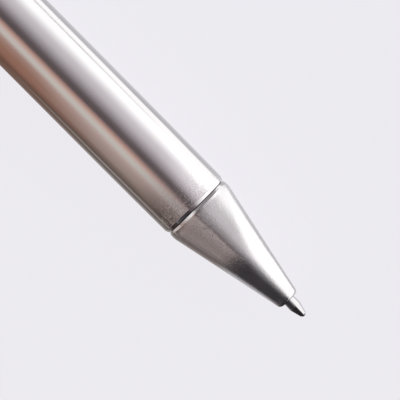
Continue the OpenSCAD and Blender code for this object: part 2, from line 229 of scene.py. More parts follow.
def spaced(outline, step, closed=True, support=0.05 * MM, fine=None, fine_step=None):
    """Outline with more points: one at least every step, and one close to each end of every straight stretch.

    Positions along the outline are mapped to points by straight interpolation. fine is a test on points that
    asks for fine_step instead.
    """
    ring = np.vstack([outline, outline[:1]]) if closed else outline
    along = np.concatenate([[0], np.cumsum(np.linalg.norm(np.diff(ring, axis=0), axis=1))])
    stretch = np.diff(along)
    straight = stretch > 4 * support
    near = np.concatenate([along[:-1][straight] + support, along[1:][straight] - support])
    places = [along, near, np.arange(0, along[-1], step)]
    if fine is not None:
        dense = np.arange(0, along[-1], fine_step)
        x, r = np.interp(dense, along, ring[:, 0]), np.interp(dense, along, ring[:, 1])
        places.append(dense[fine(x, r)])
    places = np.sort(np.concatenate(places))
    places = places[np.concatenate([[True], np.diff(places) > CLOSEST])]
    if closed:
        places = places[places < along[-1] - CLOSEST]
    return np.stack([np.interp(places, along, ring[:, 0]), np.interp(places, along, ring[:, 1])], axis=1)


def rim_wear(outline, corners, width):
    """Share of edge wear along an outline: exp(-(d / width)^2), with d the distance to the nearest corner."""
    away = np.linalg.norm(outline[:, None] - np.asarray(corners)[None, :, :2], axis=2).min(axis=1)
    return np.exp(-(away / width) ** 2)


def grid_faces(rows, columns, closed_rows):
    """Quads between neighbouring rows and columns of a grid of points whose columns run round."""
    index = np.arange(rows * columns).reshape(rows, columns)
    ahead = np.roll(index, -1, axis=0)
    quads = np.stack([index, ahead, np.roll(ahead, -1, axis=1), np.roll(index, -1, axis=1)], axis=-1)
    return (quads if closed_rows else quads[:-1]).reshape(-1, 4)


def solid_mesh(name, points, quads, wear, fans=()):
    """Closed mesh of quads and fans that faces outwards, smooth but for sharp edges."""
    faces = quads.tolist() + [face for fan in fans for face in fan]
    first, second, third, fourth = (points[quads[:, i]] for i in range(4))
    volume = np.einsum("ij,ij->", first, np.cross(second, third) + np.cross(third, fourth))
    if volume < 0:
        faces = [face[::-1] for face in faces]
    mesh = bpy.data.meshes.new(name)
    mesh.from_pydata(points, [], faces)
    mesh.polygons.foreach_set("use_smooth", np.ones(len(mesh.polygons), bool))
    mesh.set_sharp_from_angle(angle=math.radians(SHARP_ANGLE))
    mesh.attributes.new("wear", "FLOAT", "POINT").data.foreach_set("value", wear.astype(np.float32))
    mesh.update()
    return mesh


def turned_points(outline, segments, groove=None):
    """Points of an (x, radius) outline carried round the pen axis: (x, r cos a, r sin a).

    groove(x, r, a) gives a depth that is taken off the radius.
    """
    angle = np.linspace(0, TAU, segments, endpoint=False)
    x, r = (np.repeat(column[:, None], segments, axis=1) for column in outline.T)
    if groove is not None:
        r = r - groove(x, r, angle[None, :])
    return np.stack([x, r * np.cos(angle), r * np.sin(angle)], axis=-1).reshape(-1, 3)


def turned_mesh(name, outline, wear, segments=160, groove=None):
    """Ring of a closed outline that is carried round the pen axis."""
    points = turned_points(outline, segments, groove)
    quads = grid_faces(len(outline), segments, True)
    return solid_mesh(name, points, quads, np.repeat(wear, segments))


def capped_mesh(name, outline, wear, segments=160):
    """As turned_mesh, for an open outline from axis to axis: each end closes in a fan at a pole."""
    body = outline[1:-1]
    points = turned_points(body, segments)
    poles = np.array([[outline[0, 0], 0, 0], [outline[-1, 0], 0, 0]])
    quads = grid_faces(len(body), segments, False)
    count = len(points)
    here = np.arange(segments)
    ahead = np.roll(here, -1)
    first = np.stack([here, ahead, np.full(segments, count)], axis=1)
    edge = count - segments
    last = np.stack([ahead + edge, here + edge, np.full(segments, count + 1)], axis=1)
    values = np.concatenate([np.repeat(wear[1:-1], segments), wear[[0, -1]]])
    return solid_mesh(name, np.vstack([points, poles]), quads, values, (first.tolist(), last.tolist()))


def place(mesh, material, body, node, slot):
    """Puts a piece with its mesh's name into the scene for a CAD node, on that node's body."""
    mesh.materials.append(material)
    piece = bpy.data.objects.new(mesh.name, mesh)
    bpy.context.scene.collection.objects.link(piece)
    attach(piece, body)
    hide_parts(node)


def dress(node, material):
    """Gives a CAD node that stays in the scene its finish."""
    for slot in NODES[node].material_slots:
        slot.material = material


def add_node(tree, kind, values=None, **settings):
    """Adds a shader node: settings are its properties, and each value is set on a socket or linked."""
    made = tree.nodes.new("ShaderNode" + kind)
    for name, value in settings.items():
        setattr(made, name, value)
    for socket, value in (values or {}).items():
        if isinstance(value, bpy.types.NodeSocket):
            tree.links.new(value, made.inputs[socket])
        else:
            made.inputs[socket].default_value = value
    return made


def new_material(name):
    """A material with an empty node tree."""
    material = bpy.data.materials.new(name)
    material.use_nodes = True
    material.node_tree.nodes.clear()
    return material, material.node_tree


# Specks of a metal skin: how far apart they are, the noise levels they rise between, and how far scuffs reach
SPECK_SPACING = 0.24 * MM
SPECK_LEVELS = (0.52, 0.74)
SCUFF_REACH = 6 * MM
# Noise levels that a metal's two roughnesses stand for, and the size of the clouds in a plastic
PATCH_LEVELS = (0.3, 0.7)
CLOUD_SIZE = 4 * MM


def specked(tree, place_on, worn, grit, scuff):
    """Normal of a skin with specks: peaks of a noise, higher near the joint and left off worn rims."""
    noise = add_node(tree, "TexNoise", {"Vector": place_on, "Scale": 1 / SPECK_SPACING, "Detail": 1.0})
    peaks = add_node(
        tree, "MapRange",
        {"Value": noise.outputs["Fac"], "From Min": SPECK_LEVELS[0], "From Max": SPECK_LEVELS[1]},
    )
    along = add_node(tree, "SeparateXYZ", {"Vector": place_on})
    ahead = add_node(tree, "Math", {0: along.outputs["X"], 1: BARREL_FRONT}, operation="SUBTRACT")
    away = add_node(tree, "Math", {0: ahead.outputs["Value"]}, operation="ABSOLUTE")
    rise = add_node(
        tree, "MapRange",
        {"Value": away.outputs["Value"], "From Max": SCUFF_REACH, "To Min": scuff, "To Max": 1.0},
    )
    height = add_node(
        tree, "Math", {0: peaks.outputs["Result"], 1: rise.outputs["Result"]}, operation="MULTIPLY"
    )
    kept = add_node(tree, "Mix", {0: worn, 2: height.outputs["Value"], 3: 0.0}, data_type="FLOAT")
    skin = add_node(tree, "Bump", {"Height": kept.outputs[0], "Distance": grit})
    return skin.outputs["Normal"]


def metal(name, bright, dull, rough, patch, grain, depth, polish, grit=0.0, scuff=1.0):
    """Metal: slow patches blend two tones and two roughnesses, a fine grain makes bumps, and worn rims shine.

    patch and grain are the size of their marks along x, y and z, depth is the grain's height and grit the
    specks' height, all in millimetres. polish is the roughness of a worn rim, which has no specks. scuff is
    how many times higher the specks are at the joint than beyond its reach.
    """
    material, tree = new_material(name)
    place_on = add_node(tree, "TexCoord").outputs["Object"]
    worn = add_node(tree, "Attribute", attribute_name="wear").outputs["Fac"]
    slow, fast = (
        add_node(tree, "Mapping", {"Vector": place_on, "Scale": [1 / (size * MM) for size in marks]})
        for marks in (patch, grain)
    )
    cloud = add_node(
        tree, "TexNoise", {"Vector": slow.outputs["Vector"], "Scale": 1.0, "Detail": 3.0}
    ).outputs["Fac"]
    lines = add_node(
        tree, "TexNoise", {"Vector": fast.outputs["Vector"], "Scale": 1.0, "Detail": 2.0}
    ).outputs["Fac"]
    tones = add_node(tree, "Mix", {0: cloud, 6: linear(dull), 7: bright}, data_type="RGBA").outputs[2]
    even = add_node(
        tree, "MapRange",
        {"Value": cloud, "From Min": PATCH_LEVELS[0], "From Max": PATCH_LEVELS[1],
         "To Min": rough[0], "To Max": rough[1]},
    ).outputs["Result"]
    shine = add_node(tree, "Mix", {0: worn, 2: even, 3: polish}, data_type="FLOAT").outputs[0]
    bumps = {"Height": lines, "Distance": depth * MM}
    if grit:
        bumps["Normal"] = specked(tree, place_on, worn, grit * MM, scuff)
    bump = add_node(tree, "Bump", bumps).outputs["Normal"]
    shader = add_node(
        tree, "BsdfPrincipled",
        {"Base Color": tones, "Roughness": shine, "Normal": bump, "Metallic": 1.0},
    )
    add_node(tree, "OutputMaterial", {"Surface": shader.outputs["BSDF"]})
    return material


def plastic(name, colour, shade, rough, grain, depth):
    """Moulded plastic: two close tones in slow clouds and a fine eroded texture, sized in millimetres."""
    material, tree = new_material(name)
    place_on = add_node(tree, "TexCoord").outputs["Object"]
    cloud = add_node(
        tree, "TexNoise", {"Vector": place_on, "Scale": 1 / CLOUD_SIZE, "Detail": 2.0}
    ).outputs["Fac"]
    grit = add_node(
        tree, "TexNoise", {"Vector": place_on, "Scale": 1 / (grain * MM), "Detail": 1.0}
    ).outputs["Fac"]
    tones = add_node(tree, "Mix", {0: cloud, 6: linear(shade), 7: colour}, data_type="RGBA").outputs[2]
    even = add_node(
        tree, "MapRange", {"Value": cloud, "To Min": rough[0], "To Max": rough[1]}
    ).outputs["Result"]
    bump = add_node(tree, "Bump", {"Height": grit, "Distance": depth * MM}).outputs["Normal"]
    shader = add_node(
        tree, "BsdfPrincipled",
        {"Base Color": tones, "Roughness": even, "Normal": bump, "IOR": 1.48},
    )
    add_node(tree, "OutputMaterial", {"Surface": shader.outputs["BSDF"]})
    return material


def silver_tube(colour):
    """Anodised aluminium tube, bright satin: clear streaks of reflection along the pen, broken by the draw.

    The drawn lines are about 0.05 mm apart on a real tube and are drawn at 0.3 mm so that they show.
    """
    return metal(
        "anodised_aluminium_bright_satin", colour, "#C8C5C6", rough=(0.10, 0.17),
        patch=(9, 4, 4), grain=(12, 0.3, 0.3), depth=0.002, polish=0.08, grit=0.0016, scuff=8.0,
    )


def satin_plate(colour):
    """Satin chrome plate on the nose: soft wide lights with a fine sparkling grit.

    Real blasting grit leaves marks of about 0.05 mm, drawn at 0.22 mm so that they show.
    """
    return metal(
        "satin_chrome_plate", colour, "#C0BDBE", rough=(0.13, 0.21),
        patch=(5, 5, 5), grain=(0.22, 0.22, 0.22), depth=0.003, polish=0.12, grit=0.012, scuff=2.0,
    )


def bright_chrome(colour):
    """Polished chrome plate: mirror lights with faint wiping marks a few millimetres long."""
    return metal(
        "polished_chrome_plate", colour, "#CFCFD2", rough=(0.05, 0.11),
        patch=(6, 3, 3), grain=(3, 0.4, 0.4), depth=0.0008, polish=0.04,
    )


def turned_nickel(colour):
    """Nickel silver turned on a lathe: hard bright and dark sides with rings 0.12 mm apart from the tool."""
    return metal(
        "nickel_silver_turned", colour, "#AEACAD", rough=(0.08, 0.14),
        patch=(2, 2, 2), grain=(0.12, 8, 8), depth=0.001, polish=0.07,
    )


def lapped_carbide():
    """Tungsten carbide ball, lapped: a small dark mirror, a little smeared by ink."""
    return metal(
        "tungsten_carbide_lapped", linear("#8F8D8C"), "#6E6C70", rough=(0.08, 0.2),
        patch=(0.5, 0.5, 0.5), grain=(0.1, 0.1, 0.1), depth=0.0004, polish=0.1,
    )


def turned_brass():
    """Free-cutting brass, turned: warm yellow with fine rings from the tool."""
    return metal(
        "brass_turned", linear("#D9B866"), "#C39A48", rough=(0.2, 0.3),
        patch=(3, 3, 3), grain=(0.15, 9, 9), depth=0.002, polish=0.15,
    )


def drawn_steel(name, bright, dull):
    """Drawn steel: cool grey with long draw lines along the piece, drawn 0.2 mm wide so that they show."""
    return metal(
        name, linear(bright), dull, rough=(0.22, 0.34),
        patch=(6, 2, 2), grain=(14, 0.2, 0.2), depth=0.0015, polish=0.15,
    )


def ink_paste(colour):
    """Oil paste ink: deep colour and a wet gloss, with slow swirls."""
    return plastic("ink_oil_paste", colour, "#0A1038", rough=(0.1, 0.22), grain=0.8, depth=0.002)


class PEN_OT_barrel(bpy.types.Operator):
    """Makes the barrel tube, which narrows a hair towards its bevelled front edge, and finishes the head"""
    bl_idname = "pen.barrel"
    bl_label = "Barrel and head"

    def execute(self, context):
        sizes, finish = context.scene.pen_sizes, silver_tube(context.scene.pen_colours.barrel)
        bore = BARREL_R - sizes.tube_wall
        edge_round, bevel_round = 0.06 * MM, 0.3 * MM
        corners = [
            (BARREL_FRONT, bore, sizes.fine_round),
            (BARREL_FRONT, BARREL_R - sizes.barrel_step, edge_round),
            (BARREL_FRONT - sizes.barrel_bevel, BARREL_R, bevel_round),
            (BARREL_REAR, BARREL_R, sizes.fine_round),
            (BARREL_REAR, bore, 0),
        ]
        outline = spaced(rounded(corners), 1 * MM)
        ahead = np.clip((outline[:, 0] - BARREL_FRONT) / sizes.taper_length + 1, 0, 1)
        outer = outline[:, 1] > bore + 0.3 * sizes.tube_wall
        outline[:, 1] -= sizes.barrel_taper * outer * ahead ** 2
        wear = rim_wear(outline, corners[1:4], 0.25 * MM)
        mesh = turned_mesh("barrel_tube", outline, wear)
        place(mesh, finish, "body", "barrel", "silver_barrel")
        dress("head", finish)
        return {"FINISHED"}


class PEN_OT_nose(bpy.types.Operator):
    """Turns the nose cone with its shoulder, rim, bores and screwed spigot"""
    bl_idname = "pen.nose"
    bl_label = "Nose cone"

    def execute(self, context):
        sizes = context.scene.pen_sizes
        base = BARREL_FRONT + sizes.joint_gap
        shoulder = base + sizes.nose_shoulder
        angle = math.atan2(NOSE_R - sizes.nose_end, NOSE_FRONT - shoulder)
        sweep = sizes.nose_blend / math.tan(angle / 2)
        seat = NOSE_FRONT - sizes.spring_seat
        throat = seat - sizes.throat_length
        lip = base - sizes.nose_lip
        washer_play, edge_round, bevel_round, spigot_round = 0.02 * MM, 0.05 * MM, 0.3 * MM, 0.2 * MM
        corners = [
            (base, WASHER_R + washer_play, 0),
            (lip, WASHER_R + 2 * washer_play, 0),
            (lip, NOSE_R - sizes.nose_step, edge_round),
            (lip + sizes.nose_bevel, NOSE_R, bevel_round),
            (shoulder, NOSE_R, sweep),
            (NOSE_FRONT, sizes.nose_end, sizes.nose_rim),
            (NOSE_FRONT, sizes.tip_hole, edge_round),
            (NOSE_FRONT - sizes.tip_hole_depth, sizes.tip_hole, 0),
            (seat, sizes.spring_bore, 0),
            (throat, sizes.spring_bore, 0),
            (throat - sizes.throat_cone, sizes.refill_bore, 0),
            (NOSE_REAR, sizes.refill_bore, 0),
            (NOSE_REAR, sizes.spigot, spigot_round),
            (base, sizes.spigot, 0),
        ]
        run_out = 0.5 * MM
        thread_rear, thread_front = NOSE_REAR + 0.5 * MM, base - 0.7 * MM

        def on_thread(x, r):
            return (x < base) & (r > sizes.spigot - 0.01 * MM)

        def thread(x, r, turn):
            """V groove of the thread's lead that fades in and out over its run-out at both ends."""
            phase = (x / NOSE_LEAD - turn / TAU) % 1
            fade = np.clip((x - thread_rear) / run_out, 0, 1) * np.clip((thread_front - x) / run_out, 0, 1)
            return on_thread(x, r) * fade * sizes.thread_depth * np.abs(2 * phase - 1)

        outline = spaced(rounded(corners, steps=12), 0.8 * MM, fine=on_thread, fine_step=0.07 * MM)
        wear = rim_wear(outline, corners[2:4] + corners[5:7], 0.2 * MM)
        finish = satin_plate(context.scene.pen_colours.nose)
        mesh = turned_mesh("nose_shell", outline, wear, groove=thread)
        place(mesh, finish, "nose", "nose_cone", "satin_chrome_nose")
        return {"FINISHED"}


class PEN_OT_writing_tip(bpy.types.Operator):
    """Turns the writing tip with its crimped lip, and the ball in it"""
    bl_idname = "pen.writing_tip"
    bl_label = "Writing tip and ball"

    def execute(self, context):
        sizes = context.scene.pen_sizes
        ball = (BALL_REAR + BALL_FRONT) / 2
        ball_play, lip_wall, lip_length, spigot_step = 0.02 * MM, 0.06 * MM, 0.22 * MM, 0.25 * MM
        edge_round, cone_round, lip_round, rim_round = 0.1 * MM, 0.25 * MM, 0.3 * MM, 0.03 * MM
        swell, crimp = 0.035 * MM, 0.02 * MM
        seat_r = BALL_R + ball_play
        lip_in = math.sqrt(seat_r ** 2 - (TIP_FRONT - ball) ** 2)
        lip_out = BALL_R + lip_wall
        spigot_r = TIP_R - spigot_step
        spigot_end = TIP_REAR + sizes.tip_spigot
        corners = [
            (TIP_REAR, sizes.ink_channel, 0),
            (TIP_REAR, spigot_r, edge_round),
            (spigot_end, spigot_r, 0),
            (spigot_end, TIP_R, edge_round),
            (TIP_FRONT - sizes.tip_cone, TIP_R, cone_round),
            (TIP_FRONT - lip_length, lip_out + swell, lip_round),
            (TIP_FRONT, lip_out - crimp, rim_round),
            (TIP_FRONT, lip_in, 0),
            (ball, seat_r, 0),
            (ball - math.sqrt(seat_r ** 2 - sizes.ink_channel ** 2), sizes.ink_channel, 0),
        ]
        outline = spaced(rounded(corners), 0.5 * MM, support=0.02 * MM)
        wear = rim_wear(outline, corners[6:8], 0.1 * MM)
        finish = turned_nickel(context.scene.pen_colours.tip)
        mesh = turned_mesh("tip_socket", outline, wear, segments=96)
        place(mesh, finish, "refill", "writing_tip", "nickel_silver")
        outline = arc((ball, 0), BALL_R, 180, 0, steps=32)
        mesh = capped_mesh("tip_ball", outline, np.zeros(len(outline)), segments=64)
        place(mesh, lapped_carbide(), "ball", "writing_ball", "hard_ball")
        return {"FINISHED"}


class PEN_OT_trim(bpy.types.Operator):
    """Turns the bright trim: ring, end collar and push button"""
    bl_idname = "pen.trim"
    bl_label = "Ring, collar and button"

    def execute(self, context):
        sizes, finish = context.scene.pen_sizes, bright_chrome(context.scene.pen_colours.chrome)
        bore = BARREL_R - sizes.tube_wall
        corners = [
            (RING_FRONT, bore, 0),
            (RING_FRONT, RING_R, sizes.fine_round),
            (RING_REAR, RING_R, sizes.fine_round),
            (RING_REAR, bore, 0),
        ]
        outline = spaced(rounded(corners), 0.4 * MM)
        mesh = turned_mesh("trim_band", outline, rim_wear(outline, corners[1:3], 0.1 * MM))
        place(mesh, finish, "body", "trim_ring", "polished_chrome")

        play, fit, edge_round = 0.1 * MM, 0.03 * MM, 0.1 * MM
        hole = sizes.button + play
        corners = [
            (COLLAR_FRONT, hole, 0),
            (COLLAR_FRONT, bore - fit, sizes.fine_round),
            (HEAD_REAR, bore - fit, 0),
            (HEAD_REAR, COLLAR_R, edge_round),
            (COLLAR_REAR, COLLAR_R, sizes.collar_dome),
            (COLLAR_REAR, hole, sizes.fine_round),
        ]
        outline = spaced(rounded(corners, steps=12), 0.5 * MM)
        mesh = turned_mesh("collar_cap", outline, rim_wear(outline, corners[3:4] + corners[5:], 0.15 * MM))
        place(mesh, finish, "body", "end_collar", "polished_chrome")

        floor = HEAD_REAR + 0.7 * MM
        flange, crown_round = 1 * MM, 0.5 * MM
        side_end, crown_start = BUTTON_REAR + 1.2 * MM, BUTTON_REAR + 1.14 * MM
        dome = 2.2 * sizes.button
        lean = math.degrees(math.asin((sizes.button - crown_round) / dome))
        skirt = [
            (floor, 0, 0),
            (floor, sizes.stem_hole, 0),
            (BUTTON_FRONT, sizes.stem_hole, 0),
            (BUTTON_FRONT, FLANGE_R, edge_round),
            (BUTTON_FRONT - flange, FLANGE_R, edge_round),
            (BUTTON_FRONT - flange, sizes.button, 0),
            (side_end, sizes.button, 0),
        ]
        edge = arc((crown_start, sizes.button - crown_round), crown_round, 90, 180 - lean)
        crown = arc((BUTTON_REAR + dome, 0), dome, 180 - lean, 180, steps=12)
        outline = spaced(np.vstack([rounded(skirt, closed=False), edge, crown]), 0.8 * MM, closed=False)
        mesh = capped_mesh("button_cap", outline, rim_wear(outline, skirt[3:5], 0.1 * MM))
        place(mesh, finish, "button", "push_button", "polished_chrome")
        return {"FINISHED"}


class PEN_OT_clip(bpy.types.Operator):
    """Bends the pocket clip: one strip from its tang through the bend to the lip"""
    bl_idname = "pen.clip"
    bl_label = "Pocket clip"

    def execute(self, context):
        sizes = context.scene.pen_sizes
        half = sizes.clip_thickness / 2
        slot = JOINTS["clip_flex"]["pos_m"][0]
        sideways = np.array(JOINTS["clip_flex"]["axis"])
        outwards = np.cross(sideways, (1, 0, 0))
        tang_gap, lip_gap, fall = 0.5 * MM, 0.15 * MM, 0.1 * MM
        tang_round, bend_round, arm_round = 0.5 * MM, 1.1 * MM, 20 * MM
        tang = BARREL_R - sizes.tube_wall - tang_gap - half
        arm = BARREL_R + sizes.clip_gap + half
        touch = BARREL_R + lip_gap + half
        lip_centre = (slot + sizes.clip_length - sizes.lip_reach, touch + sizes.lip_round)
        lip = arc(lip_centre, sizes.lip_round, 262, 315, steps=16)
        bends = [
            (slot + sizes.tang_length, tang, 0),
            (slot, tang, tang_round),
            (slot, arm, bend_round),
            (slot + sizes.clip_length / 2, arm - fall, arm_round),
            (*lip[0], 0),
        ]
        path = spaced(np.vstack([rounded(bends, closed=False)[:-1], lip]), 0.5 * MM, closed=False)
        mesh = strip_mesh(path, sizes, outwards, sideways, slot)
        finish = bright_chrome(context.scene.pen_colours.chrome)
        place(mesh, finish, "clip", "pocket_clip", "polished_chrome")
        return {"FINISHED"}


def strip_mesh(path, sizes, outwards, sideways, slot):
    """Rounded strip section carried along a path of (x, radius) points.

    point(s, u) = path(s) + thickness(u) * normal(s) + (breadth(u) at half the width of s) * sideways. The
    width steps from tang to arm where the leg leaves the tube, narrows to the lip and ends on a circle.
    """
    shoulder, fillet, side, lip_wear = 0.25 * MM, 0.16 * MM, 1 * MM, 0.8 * MM
    ahead = np.gradient(path, axis=0)
    ahead /= np.linalg.norm(ahead, axis=1, keepdims=True)
    normal = np.stack([-ahead[:, 1], ahead[:, 0]], axis=1)
    along = np.concatenate([[0], np.cumsum(np.linalg.norm(np.diff(path, axis=0), axis=1))])
    leaves = along[np.argmax(path[:, 1] > BARREL_R + shoulder)]
    step = np.clip((along - leaves) / shoulder, 0, 1)
    half, lip = sizes.clip_thickness / 2, sizes.lip_width / 2
    lip_x = path[-1, 0] + half - lip
    narrow_from = slot + 2 * MM
    narrow = np.clip((path[:, 0] - narrow_from) / (lip_x - narrow_from), 0, 1) * (along > leaves)
    arm_width = sizes.clip_width + (sizes.lip_width - sizes.clip_width) * narrow
    width = sizes.tang_width + (arm_width - sizes.tang_width) * step * step * (3 - 2 * step)
    beyond = np.clip((path[:, 0] - lip_x) / lip, 0, 0.9)
    width = width * np.sqrt(1 - beyond ** 2)
    corners = [(half, side, fillet), (-half, side, fillet), (-half, -side, fillet), (half, -side, fillet)]
    section = spaced(rounded(corners, steps=6), 0.4 * MM, support=0.03 * MM)
    thin, broad = section[:, 0], section[:, 1]
    edge = broad[None, :] + np.sign(broad)[None, :] * (width[:, None] / 2 - side)
    middle = broad[None, :] * width[:, None] / (2 * side)
    breadth = np.where(np.abs(broad)[None, :] > side / 2, edge, middle)
    lift = path[:, None, :] + thin[None, :, None] * normal[:, None, :]
    points = lift[..., :1] * np.array([1.0, 0, 0]) + lift[..., 1:] * outwards + breadth[..., None] * sideways
    rows, columns = points.shape[:2]
    quads = grid_faces(rows, columns, False)
    caps = ([list(range(columns))], [list(range(rows * columns - 1, rows * columns - columns - 1, -1))])
    wear = np.repeat(np.exp(-((along - along[-1]) / lip_wear) ** 2), columns)
    return solid_mesh("clip_strip", points.reshape(-1, 3), quads, wear, caps)


class PEN_OT_inside(bpy.types.Operator):
    """Gives the pieces inside the pen their finishes"""
    bl_idname = "pen.inside"
    bl_label = "Inner pieces"

    def execute(self, context):
        brass = turned_brass()
        acetal = plastic(
            "acetal_white_moulded", linear("#E4E3DF"), "#D8D6D0", rough=(0.35, 0.5), grain=0.12, depth=0.002
        )
        dark = plastic(
            "acetal_black_moulded", linear("#1B1B1E"), "#131316", rough=(0.3, 0.45), grain=0.12, depth=0.002
        )
        nylon = plastic(
            "nylon_black_punched", linear("#151517"), "#0C0C0E", rough=(0.5, 0.65), grain=0.2, depth=0.004
        )
        wearing = {
            "thread_bush": brass,
            "coupling_sleeve": brass,
            "guide_sleeve": acetal,
            "plunger": acetal,
            "tip_holder": acetal,
            "refill_tail": acetal,
            "rotor": dark,
            "joint_washer": nylon,
            "return_spring": drawn_steel("spring_steel_drawn", "#BFC1C6", "#A3A5AB"),
            "refill_tube": drawn_steel("steel_tube_drawn", "#C6C8CC", "#AEB0B5"),
            "ink_column": ink_paste(context.scene.pen_colours.ink),
        }
        for node, material in wearing.items():
            dress(node, material)
        return {"FINISHED"}


# Studio cards, in millimetres: how far from the pen axis they are bent, and where the long ones end
FAR, NEAR, CLOSE = 200, 90, 14
STAGE_REAR, STAGE_FRONT = -128, 130
# Foot and top of the upright cards, and the width of a flat card's soft edges
UPRIGHT = (-6.3, 6.5)
SOFT_EDGE = 0.3
WHITE = "#FFFFFF"


def card(name, points, glow, one_sided=False):
    """A lit studio card that only shows in reflections, with its points in millimetres.

    glow is its colour and opacity at each point. A one-sided card shows only where its faces point to.
    """
    rows, columns = points.shape[:2]
    index = np.arange(rows * columns).reshape(rows, columns)
    quads = np.stack([index[:-1, :-1], index[1:, :-1], index[1:, 1:], index[:-1, 1:]], axis=-1)
    mesh = bpy.data.meshes.new(name)
    mesh.from_pydata(points.reshape(-1, 3) * MM, [], quads.reshape(-1, 4).tolist())
    colours = mesh.attributes.new("glow", "FLOAT_COLOR", "POINT")
    colours.data.foreach_set("color", glow.reshape(-1).astype(np.float32))
    finish = "one_sided_card" if one_sided else "studio_card"
    mesh.materials.append(bpy.data.materials.get(finish) or card_material(finish, one_sided))
    made = bpy.data.objects.new(name, mesh)
    bpy.context.scene.collection.objects.link(made)
    for rays in ("camera", "diffuse", "transmission", "shadow"):
        setattr(made, "visible_" + rays, False)


def card_material(name, one_sided):
    """Glow of the studio cards, from their own attribute, with clear edges and, where asked, a clear back."""
    material, tree = new_material(name)
    glow = add_node(tree, "Attribute", attribute_name="glow")
    shown = glow.outputs["Alpha"]
    if one_sided:
        back = add_node(tree, "NewGeometry").outputs["Backfacing"]
        front = add_node(tree, "Math", {0: shown, 1: back}, operation="SUBTRACT", use_clamp=True)
        shown = front.outputs["Value"]
    light = add_node(tree, "Emission", {"Color": glow.outputs["Color"], "Strength": 1.0})
    clear = add_node(tree, "BsdfTransparent")
    both = add_node(tree, "MixShader", {0: shown, 1: clear.outputs["BSDF"], 2: light.outputs["Emission"]})
    add_node(tree, "OutputMaterial", {"Surface": both.outputs["Shader"]})
    return material


def lit(code, gain=1.0):
    """Linear RGB of a card's hex colour, times a gain where it is brighter than white."""
    return np.array(linear(code)[:3]) * gain


def glow_of(across, stops, along, ends, fade, gains=((0, 1),)):
    """Colours of a card: stops of (place, hex) or (place, hex, gain) across it, times (x, gain) along it.

    The card clears over fade at its two sides, and over the two lengths in ends at its rear and front.
    """
    at = [stop[0] for stop in stops]
    tones = np.array([lit(*stop[1:]) for stop in stops])
    colour = np.stack([np.interp(across, at, tones[:, i]) for i in range(3)], axis=-1)
    gain = np.interp(along, [x for x, _ in gains], [level for _, level in gains])
    side = np.clip(np.minimum(across - at[0], at[-1] - across) / fade, 0, 1)
    end = np.clip(np.minimum((along - along[0]) / ends[0], (along[-1] - along) / ends[1]), 0, 1)
    shown = (end[:, None] * side[None, :])[..., None]
    return np.concatenate([gain[:, None, None] * colour[None], shown], axis=-1)


def curved_card(name, span, stops, radius, ends=(4, 4), gains=((0, 1),), lean=0.0, fade=3.0):
    """Card bent round the pen axis: point(x, a) = (x + lean a, radius sin a, radius cos a).

    a and fade are in degrees, a from straight up towards +Y, and lean is in millimetres per degree.
    """
    along = np.linspace(*span, 120)
    across = np.linspace(stops[0][0], stops[-1][0], 120)
    a = np.radians(across)[None, :]
    x = along[:, None] + lean * across[None, :]
    points = np.stack(np.broadcast_arrays(x, radius * np.sin(a), radius * np.cos(a)), axis=-1)
    card(name, points, glow_of(across, stops, along, ends, fade, gains))


def floor_card(name, span, stops, ends=(4, 4), lift=0.05):
    """Flat card just above the floor: point(x, y) = (x, y, floor + lift)."""
    along = np.linspace(*span, 60)
    across = np.linspace(stops[0][0], stops[-1][0], 60)
    x, y = np.meshgrid(along, across, indexing="ij")
    points = np.stack([x, y, np.full_like(x, FLOOR_Z / MM + lift)], axis=-1)
    card(name, points, glow_of(across, stops, along, ends, SOFT_EDGE))


def standing_card(name, foot, run, turn, code):
    """Small upright card, lit on one side: point(u, z) = (foot x + u cos turn, foot y + u sin turn, z)."""
    along = np.linspace(0, run, 30)
    across = np.linspace(*UPRIGHT, 30)
    u, z = np.meshgrid(along, across, indexing="ij")
    a = math.radians(turn)
    points = np.stack([foot[0] + u * math.cos(a), foot[1] + u * math.sin(a), z], axis=-1)
    stops = ((UPRIGHT[0], code), (UPRIGHT[1], code))
    card(name, points, glow_of(across, stops, along, (0.4, 0.4), SOFT_EDGE), one_sided=True)


class PEN_OT_stage(bpy.types.Operator):
    """Sets the floor, the soft lights and the camera"""
    bl_idname = "pen.stage"
    bl_label = "Stage"

    def execute(self, context):
        stage = context.scene.pen_stage
        set_floor(stage)
        set_barrel_cards()
        set_bevel_cards()
        set_nose_cards()
        set_floor_cards()
        set_room(context.scene, stage)
        set_camera(context.scene, stage)
        return {"FINISHED"}


# Floor disc in metres, the points round its rim, its own glow, and the strength of the room's light
FLOOR_RADIUS = 3
FLOOR_POINTS = 96
FLOOR_GLOW = 0.92
ROOM_LIGHT = 0.6


def set_floor(stage):
    """Pale round floor under the pen that glows a little, so that shadows stay faint."""
    angle = np.linspace(0, TAU, FLOOR_POINTS, endpoint=False)
    height = np.full(FLOOR_POINTS, FLOOR_Z)
    rim = np.stack([FLOOR_RADIUS * np.cos(angle), FLOOR_RADIUS * np.sin(angle), height], axis=1)
    mesh = bpy.data.meshes.new("floor")
    mesh.from_pydata(rim, [], [list(range(FLOOR_POINTS))])
    material, tree = new_material("pale_paper_sweep")
    shader = add_node(
        tree, "BsdfPrincipled",
        {"Base Color": linear("#8E8D90"), "Roughness": 0.9, "Specular IOR Level": 0.0,
         "Emission Color": stage.floor, "Emission Strength": FLOOR_GLOW},
    )
    add_node(tree, "OutputMaterial", {"Surface": shader.outputs["BSDF"]})
    mesh.materials.append(material)
    floor = bpy.data.objects.new("floor", mesh)
    bpy.context.scene.collection.objects.link(floor)


